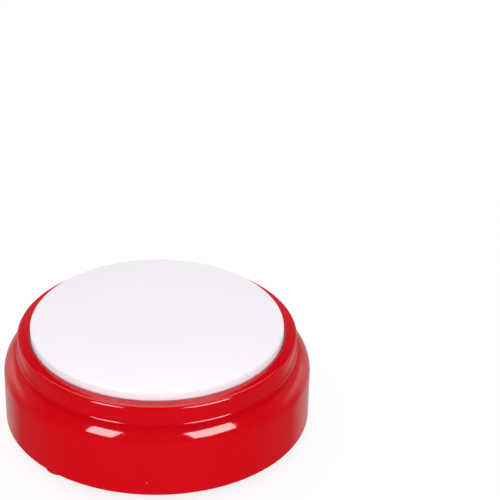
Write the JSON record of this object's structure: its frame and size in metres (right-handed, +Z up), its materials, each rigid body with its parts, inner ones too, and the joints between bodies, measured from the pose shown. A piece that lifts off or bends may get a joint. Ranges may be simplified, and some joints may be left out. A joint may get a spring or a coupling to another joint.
{
  "type": "talking clock",
  "caption": "Round tabletop talking clock: red gloss case with a raised collar and one large white domed push button, setting keys, speaker grille and battery door underneath.",
  "frame": {"origin": "on the table under the middle of the case", "axes": "+Z up through the button, -Y towards the front seen in the picture, +X to the right"},
  "size_m": [0.1, 0.1, 0.0385],
  "materials": {
    "red_plastic": "gloss",
    "white_plastic": "gloss",
    "black_plastic": "matte",
    "steel": "satin",
    "circuit_board": "satin",
    "ferrite": "matte",
    "cone_film": "satin",
    "copper": "satin",
    "foam": "matte",
    "cell_jacket": "gloss",
    "black_lead": "satin",
    "red_lead": "satin"
  },
  "bodies": {
    "case": {"upper_housing": "red_plastic", "base_plate": "red_plastic", "inner_deck": "black_plastic", "button_spring_front": "steel", "button_spring_back": "steel", "button_spring_left": "steel", "main_board": "circuit_board", "sound_chip": "black_plastic", "crystal": "steel", "filter_capacitor": "black_plastic", "supply_capacitor": "black_plastic", "board_resistors": "black_plastic", "main_switch": "black_plastic", "speaker_basket": "steel", "speaker_magnet": "ferrite", "speaker_yoke": "steel", "speaker_cone": "cone_film", "speaker_gasket": "foam", "speaker_terminals": "circuit_board", "speaker_clamps": "steel", "speaker_screws": "steel", "cell_front": "cell_jacket", "cell_back": "cell_jacket", "terminal_negative": "steel", "terminal_positive": "steel", "terminal_bridge": "steel", "key_board": "circuit_board", "set_switch": "black_plastic", "up_switch": "black_plastic", "down_switch": "black_plastic", "alarm_switch": "steel", "housing_screws": "steel", "deck_screws": "steel", "board_screws": "steel", "key_board_screws": "steel", "speaker_wires": "black_lead", "battery_wires": "red_lead", "key_wires": "black_lead"},
    "button": {"press_button": "white_plastic"},
    "main_switch_plunger": {"main_switch_plunger": "white_plastic"},
    "voice_coil": {"voice_coil": "copper"},
    "battery_door": {"battery_door": "red_plastic"},
    "set_key": {"set_key": "white_plastic"},
    "up_key": {"up_key": "white_plastic"},
    "down_key": {"down_key": "white_plastic"},
    "set_plunger": {"set_plunger": "white_plastic"},
    "up_plunger": {"up_plunger": "white_plastic"},
    "down_plunger": {"down_plunger": "white_plastic"},
    "alarm_knob": {"alarm_knob": "black_plastic"},
    "alarm_slider": {"alarm_slider": "black_plastic"}
  },
  "joints": [
    {"name": "button_press", "type": "slide", "parent": "case", "child": "button", "axis": [0, 0, -1], "range_m": [0, 0.002], "stiffness_N_per_m": 600, "springref_m": -0.0025, "deforming": ["button_spring_front", "button_spring_back", "button_spring_left"]},
    {"name": "main_switch_press", "type": "slide", "parent": "case", "child": "main_switch_plunger", "axis": [0, 0, -1], "range_m": [0, 0.002]},
    {"name": "voice_coil_move", "type": "slide", "parent": "case", "child": "voice_coil", "axis": [0, 0, 1], "range_m": [-0.0004, 0.0004], "stiffness_N_per_m": 1500, "deforming": ["speaker_cone"]},
    {"name": "battery_door_tilt", "type": "hinge", "parent": "case", "child": "battery_door", "pos_m": [0, 0.02776, 0.00355], "axis": [1, 0, 0], "range_deg": [0, 75]},
    {"name": "set_key_press", "type": "slide", "parent": "case", "child": "set_key", "axis": [0, 0, 1], "range_m": [0, 0.0004], "stiffness_N_per_m": 1500, "springref_m": -0.0004},
    {"name": "set_switch_press", "type": "slide", "parent": "case", "child": "set_plunger", "axis": [0, 0, 1], "range_m": [0, 0.0004]},
    {"name": "up_key_press", "type": "slide", "parent": "case", "child": "up_key", "axis": [0, 0, 1], "range_m": [0, 0.0004], "stiffness_N_per_m": 1500, "springref_m": -0.0004},
    {"name": "up_switch_press", "type": "slide", "parent": "case", "child": "up_plunger", "axis": [0, 0, 1], "range_m": [0, 0.0004]},
    {"name": "down_key_press", "type": "slide", "parent": "case", "child": "down_key", "axis": [0, 0, 1], "range_m": [0, 0.0004], "stiffness_N_per_m": 1500, "springref_m": -0.0004},
    {"name": "down_switch_press", "type": "slide", "parent": "case", "child": "down_plunger", "axis": [0, 0, 1], "range_m": [0, 0.0004]},
    {"name": "alarm_knob_slide", "type": "slide", "parent": "case", "child": "alarm_knob", "axis": [1, 0, 0], "range_m": [0, 0.003]},
    {"name": "alarm_switch_slide", "type": "slide", "parent": "case", "child": "alarm_slider", "axis": [1, 0, 0], "range_m": [0, 0.003]}
  ],
  "couplings": [
    {"joint": "main_switch_press", "follows": "button_press", "ratio": 1},
    {"joint": "set_switch_press", "follows": "set_key_press", "ratio": 1},
    {"joint": "up_switch_press", "follows": "up_key_press", "ratio": 1},
    {"joint": "down_switch_press", "follows": "down_key_press", "ratio": 1},
    {"joint": "alarm_switch_slide", "follows": "alarm_knob_slide", "ratio": 1}
  ]
}
